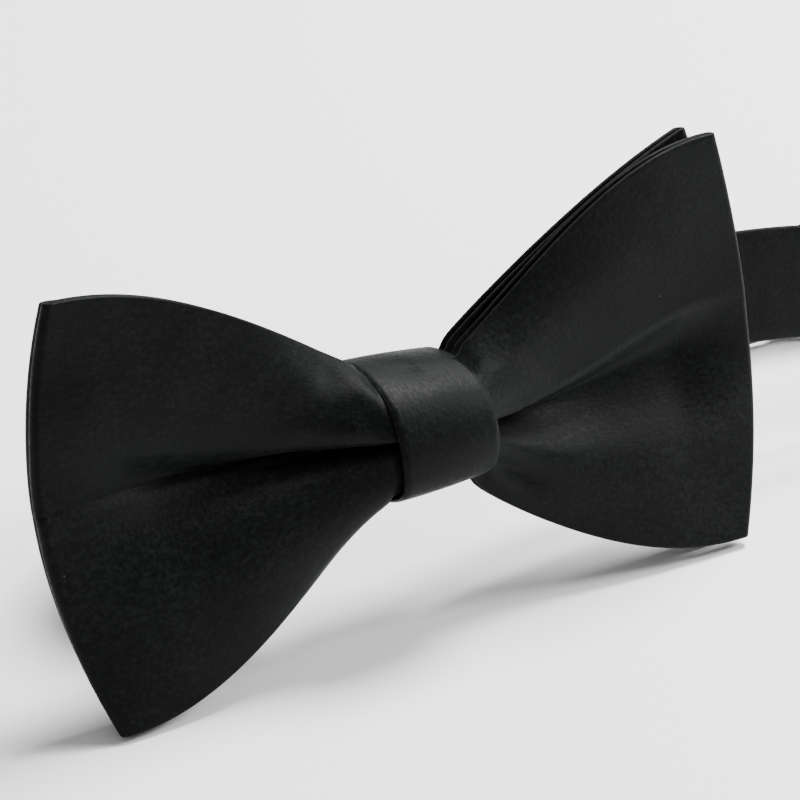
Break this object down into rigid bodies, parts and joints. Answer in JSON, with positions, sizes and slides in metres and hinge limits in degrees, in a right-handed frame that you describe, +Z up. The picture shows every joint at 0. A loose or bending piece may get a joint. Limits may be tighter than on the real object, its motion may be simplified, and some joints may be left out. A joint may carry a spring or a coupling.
{
  "type": "bow tie",
  "caption": "Black satin pre-tied bow tie: a double bow gathered by a wrapped knot, on an adjustable neck strap that closes with a hook and eye.",
  "frame": {"origin": "on the table, under the middle of the whole part's box, with the bow leaning back on its lower wing corners and the strap standing behind it", "axes": "+X along the bow from the wearer's right wing to the left wing and on along the strap, -Y the front of the bow, +Z up"},
  "size_m": [0.1988, 0.0618, 0.0604],
  "materials": {
    "satin": "near-black fine satin weave with a soft, slightly cool sheen",
    "interlining": "matt woven stiffening cloth, hidden inside the satin",
    "thread": "black twisted sewing thread",
    "nickel": "nickel-plated wire and strip with a soft polish"
  },
  "bodies": {
    "bow": {"front_bow_cover": "satin", "front_bow_interlining": "interlining", "rear_bow_cover": "satin", "rear_bow_interlining": "interlining", "waist_thread": "thread", "knot_wrap": "satin", "knot_interlining": "interlining", "knot_back_stitches": "thread", "strap_tack_left": "thread", "strap_tack_right": "thread", "neck_strap_left": "satin", "neck_strap_right": "satin", "eye_fold_stitches": "thread"},
    "strap_end": {"strap_hook_fold": "satin", "strap_return_layer": "satin"},
    "slider": {"slider_frame": "nickel", "strap_tail": "satin", "tail_stitches": "thread"},
    "hook": {"hook": "nickel"},
    "eye": {"eye": "nickel"}
  },
  "joints": [
    {"name": "strap_end_slide", "type": "slide", "parent": "bow", "child": "strap_end", "axis": [-1, 0, 0], "range_m": [0, 0.012]},
    {"name": "slider_slide", "type": "slide", "parent": "strap_end", "child": "slider", "axis": [-1, 0, 0], "range_m": [0, 0.012], "deforming": ["strap_return_layer"]},
    {"name": "hook_pivot", "type": "hinge", "parent": "strap_end", "child": "hook", "pos_m": [0.01519, 0.02754, 0.0105], "axis": [0, 0, 1], "range_deg": [-75, 75]},
    {"name": "eye_pivot", "type": "hinge", "parent": "bow", "child": "eye", "pos_m": [-0.04031, 0.02754, 0.0105], "axis": [0, 0, 1], "range_deg": [-75, 75]}
  ],
  "couplings": [
    {"joint": "slider_slide", "follows": "strap_end_slide", "ratio": 1}
  ]
}
